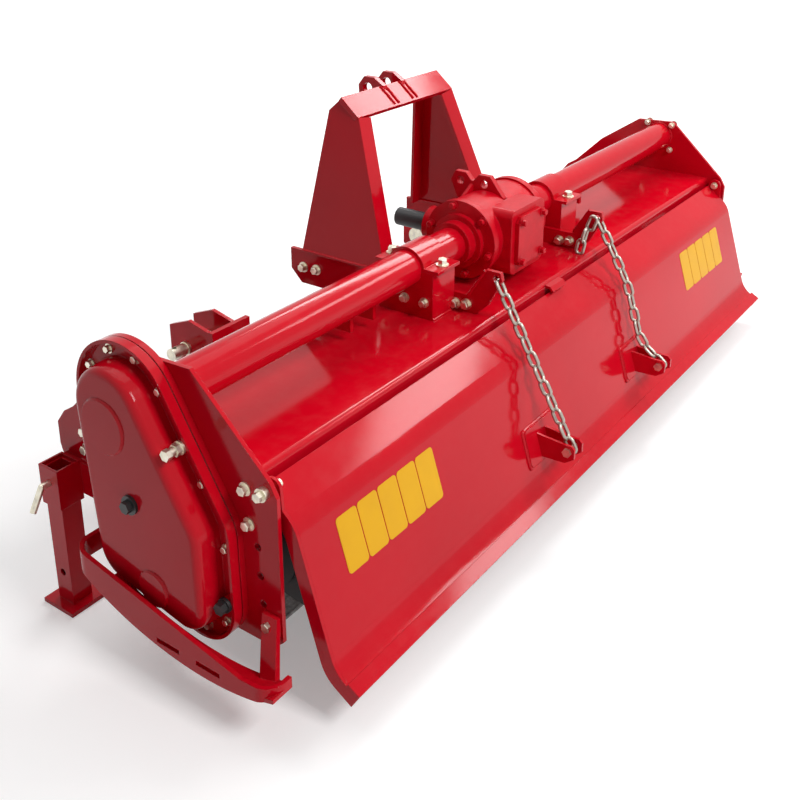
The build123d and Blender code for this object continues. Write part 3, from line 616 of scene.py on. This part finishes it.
frame_welds = []
for side in (-1, 1):
    frame_welds.append(arc_points(side * (PLATE_IN - 1), 0, TUBE_Z, TUBE_R + 1, 0, 360, 48))
    arm = SHIFT_X + side * ARM_X
    frame_welds.append([(arm + side, -100, ARM_TOP + 1), (arm + side, -140, 506)])
    for x in (arm, arm - side * ARM_T):
        frame_welds.append([(x, 116, ARM_TOP + 0.5), (x, 344, ARM_TOP + 0.5)])
    frame_welds.append([(arm - side, 116, ARM_TOP + 1), (arm - side, 344, ARM_TOP + 1)])
    for x in (SHIFT_X + side * (HITCH_X - HITCH_HALF), SHIFT_X + side * (HITCH_X + HITCH_HALF)):
        frame_welds.append(arc_points(x, 0, TUBE_Z, TUBE_R + 1, 0, -80))
    for x in TOP_EAR_SIDES:
        frame_welds.append([(SHIFT_X + side * x, 222, 762), (SHIFT_X + side * x, 262, 796)])
    frame_welds.append([(side * (PLATE_OUT + 1), 252, 288), (side * (PLATE_OUT + 1), 202, 288)])
    for y in (-66, 66):
        frame_welds.append([(arm + side, y, 405), (SHIFT_X + side * (BLOCK_FACE - 1), y, 405)])
welds("frame_welds", "frame", frame_welds)
base_rims = [rim_points(SHIFT_X + side * CHAIN_X, BASE_HALF, BASE_LOW, BASE_HIGH) for side in (-1, 1)]
welds("board_welds", "board", base_rims, BASE_BEAD_R)

# Chains: links from the hole of the arm to the bolt of the board's bracket
HOOK, CHAIN_PIN = (-164, 492), (-350, 168)
WIRE, BOLT_R, PLAY, PITCH = 3.9, 5.0, 0.3, 33
LINK_WIDTH, SPARE_LENGTH = 25.2, 44
SLACK = [(-249, 346), (-288, 226), (-302, 204)]


def on_path(path, distance):
    """Place at a distance along a line of points."""
    for first, last in zip(path, path[1:]):
        run = last - first
        if distance <= run.length:
            return first + run.normalized() * distance
        distance -= run.length
    return path[-1]


def links_along(path):
    """Centres, axes and turns of the links that fill a path, and their length."""
    reach = sum((last - first).length for first, last in zip(path, path[1:]))
    count = 2 * round(reach * 1000 / PITCH / 2)
    hooked = (2 * WIRE + PLAY) / 1000
    length = (reach + (count - 1) * hooked) / count
    step = length - hooked
    spots, axes = [], []
    for i in range(count):
        first, last = on_path(path, hooked / 2 + i * step), on_path(path, hooked / 2 + (i + 1) * step)
        spots.append((first + last) / 2)
        axes.append((first - last).normalized())
    turns = [0.0 if i % 2 == 0 else math.pi / 2 for i in range(count)]
    return spots, axes, turns, length


def holding_chain(name, node, x, slack=()):
    """Chain of one side, in place of the hidden part, from the arm's hook round the bracket's bolt; slack
    lists the places it hangs through.
    """
    start, end = at(x, *HOOK), at(x, *CHAIN_PIN)
    path = [start] + [at(x, y, z) for y, z in slack]
    round_bolt = (end - path[-1]).normalized() * (BOLT_R + 2 * WIRE + PLAY) / 1000
    spots, axes, turns, length = links_along(path + [end + round_bolt])
    mesh = points_mesh(name + "_points", spots, axis=axes, turn=turns)
    piece = run_group(name, chain_links, mesh, {"Material": link_metal, "Wire Radius": WIRE / 1000,
                                                "Link Width": LINK_WIDTH / 1000, "Link Length": length})
    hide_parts(node)
    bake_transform(piece)


holding_chain("holding_chain_left", "chain_left", SHIFT_X - CHAIN_X)
holding_chain("holding_chain_right", "chain_right", SHIFT_X + CHAIN_X, SLACK)

# Spare end of the right chain, hanging beside its arm
spare = [((194, -157, 481), (0.66, -0.25, 0.71)), ((182, -146, 452), (0.12, -0.22, 0.97)),
         ((180, -138, 423), (0.0, -0.2, 0.98))]
spare_mesh = points_mesh("spare_points", [at(*place) for place, way in spare],
                         axis=[Vector(way).normalized() for place, way in spare],
                         turn=[math.pi / 2, 0.0, math.pi / 2])
spare_links = run_group("spare_links", chain_links, spare_mesh, {
    "Material": link_metal, "Wire Radius": WIRE / 1000, "Link Width": LINK_WIDTH / 1000,
    "Link Length": SPARE_LENGTH / 1000})
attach(spare_links, "frame")

# Flat pieces on the board: bases of the chain brackets, and blank yellow panels in two rows of five
BASE_CORNER, BASE_T = 9.0, 6.0
FILM_CORNER, FILM_T = 7.0, 0.8
PANELS, PANEL_INSET = 5, 1.2


def face_plate(bm, x0, x1, z0, z1, corner, thick):
    """Plate with rounded corners, lying on the board's main face."""
    out = Vector((0, -1, BOARD_SLOPE)).normalized()
    gap, steps = 0.0002, 5
    rim = []
    for cx, cz, start in ((x1, z1, 0), (x0, z1, 90), (x0, z0, 180), (x1, z0, 270)):
        mx = cx - math.copysign(corner, cx - (x0 + x1) / 2)
        mz = cz - math.copysign(corner, cz - (z0 + z1) / 2)
        for i in range(steps + 1):
            a = math.radians(start + 90 * i / steps)
            rim.append((mx + corner * math.cos(a), mz + corner * math.sin(a)))
    flat = [at(x, board_y(z), z) for x, z in rim]
    low = [bm.verts.new(p + out * gap) for p in flat]
    high = [bm.verts.new(p + out * thick / 1000) for p in flat]
    bm.faces.new(high)
    bm.faces.new(low[::-1])
    for i in range(len(flat)):
        j = (i + 1) % len(flat)
        bm.faces.new((low[i], low[j], high[j], high[i]))


def face_plates(name, plates, corner, thick, material):
    """All plates of one kind on the board, in one mesh."""
    bm = bmesh.new()
    for x0, x1, z0, z1 in plates:
        face_plate(bm, x0, x1, z0, z1, corner, thick)
    bmesh.ops.recalc_face_normals(bm, faces=bm.faces)
    mesh = bpy.data.meshes.new(name)
    bm.to_mesh(mesh)
    bm.free()
    mesh.materials.append(material)
    piece = bpy.data.objects.new(name, mesh)
    scene.collection.objects.link(piece)
    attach(piece, "board")


def panel_row(x0, x1, z0, z1):
    """Sides of equal panels in one row."""
    wide = (x1 - x0) / PANELS
    return [(x0 + k * wide + PANEL_INSET, x0 + (k + 1) * wide - PANEL_INSET, z0, z1) for k in range(PANELS)]


bases = []
for side in (-1, 1):
    middle = SHIFT_X + side * CHAIN_X
    bases.append((middle - BASE_HALF, middle + BASE_HALF, BASE_LOW, BASE_HIGH))
face_plates("bracket_bases", bases, BASE_CORNER, BASE_T, enamel)
film = panel_film("yellow_film")
face_plates("blank_panels_left", panel_row(-866, -592, 210, 303), FILM_CORNER, FILM_T, film)
face_plates("blank_panels_right", panel_row(566, 836, 208, 305), FILM_CORNER, FILM_T, film)

# Floor and light
FLOOR_SIZE, FLOOR_DROP = 60, 0.0005
WORLD_LIGHT = 0.14
RAYS = ("Is Camera Ray", "Is Glossy Ray", "Is Transmission Ray")
GLOW_NEAR, GLOW_FROM, GLOW_GAIN = 0.40, 1.5, 0.17


def seen_directly(graph):
    """1 for rays that show the backdrop itself, and 0 for rays that carry its light."""
    ray = graph.tree.nodes.new("ShaderNodeLightPath")
    straight, mirrored, through = [Socket(graph, ray.outputs[name]) for name in RAYS]
    return (straight + mirrored + through).clamped()


bpy.ops.mesh.primitive_plane_add(size=FLOOR_SIZE, location=(0, 0, -FLOOR_DROP))
floor = bpy.context.object
floor.name = "floor"
floor_paint, floor_graph, floor_shader, floor_place = finish("pale_floor")
floor_tone = floor_graph.noise(floor_place, 0.8, 2.0)
floor_reach = floor_graph.node("ShaderNodeVectorMath", {"operation": "LENGTH"}, [floor_place], "Value")
floor_glow = (seen_directly(floor_graph) * (GLOW_NEAR + (floor_reach - GLOW_FROM) * GLOW_GAIN)).clamped()
floor_shown = floor_graph.mix(floor_glow, (0, 0, 0, 1), (1, 1, 1, 1))
floor_color = floor_graph.mix(floor_tone, (0.76, 0.76, 0.76, 1), (0.78, 0.78, 0.78, 1))
dress(floor_graph, floor_shader, Base_Color=floor_color, Roughness=0.8, Emission_Color=floor_shown,
      Emission_Strength=1.0)
floor.data.materials.append(floor_paint)

world = bpy.data.worlds.new("studio")
scene.world = world
world.use_nodes = True
sky = Graph(world.node_tree)
ground = world.node_tree.nodes["Background"]
ground.inputs["Color"].default_value = (1, 1, 1, 1)
sky_strength = WORLD_LIGHT + seen_directly(sky) * (1 - WORLD_LIGHT)
sky.tree.links.new(sky_strength.link, ground.inputs["Strength"])


def lamp(name, place, aim, size, power):
    """Soft box of a width and height in metres, with its power in watts."""
    light = bpy.data.lights.new(name, "AREA")
    light.shape = "RECTANGLE"
    light.size, light.size_y = size
    light.energy = power
    holder = bpy.data.objects.new(name, light)
    holder.location = place
    holder.rotation_euler = (Vector(aim) - Vector(place)).to_track_quat("-Z", "Y").to_euler()
    scene.collection.objects.link(holder)


lamp("key", (-0.6, -3.0, 3.2), (-0.3, 0, 0.3), (1.2, 1.2), 100)
lamp("top", (0.4, 0.7, 4.0), (0, 0, 0.3), (5, 3), 60)
lamp("strip", (2.4, 0.7, 2.9), (-0.3, 0, 0.5), (2.6, 0.5), 56)
lamp("side", (2.2, -1.6, 2.4), (-0.3, -0.3, 0.3), (1.6, 0.5), 34)

# Camera at the photograph's place
CAMERA_PLACE = (-1956, -1146, 1298)
TURN, DROP = math.radians(35.6), math.radians(20.27)
LENS, SENSOR, LENS_SHIFT = 47.57, 36, -0.2
camera = bpy.data.cameras.new("camera")
camera.lens = LENS
camera.sensor_width = SENSOR
camera.shift_y = LENS_SHIFT
view = bpy.data.objects.new("camera", camera)
view.location = at(*CAMERA_PLACE)
look = Vector((math.cos(DROP) * math.cos(TURN), math.cos(DROP) * math.sin(TURN), -math.sin(DROP)))
view.rotation_euler = look.to_track_quat("-Z", "Y").to_euler()
scene.collection.objects.link(view)
scene.camera = view
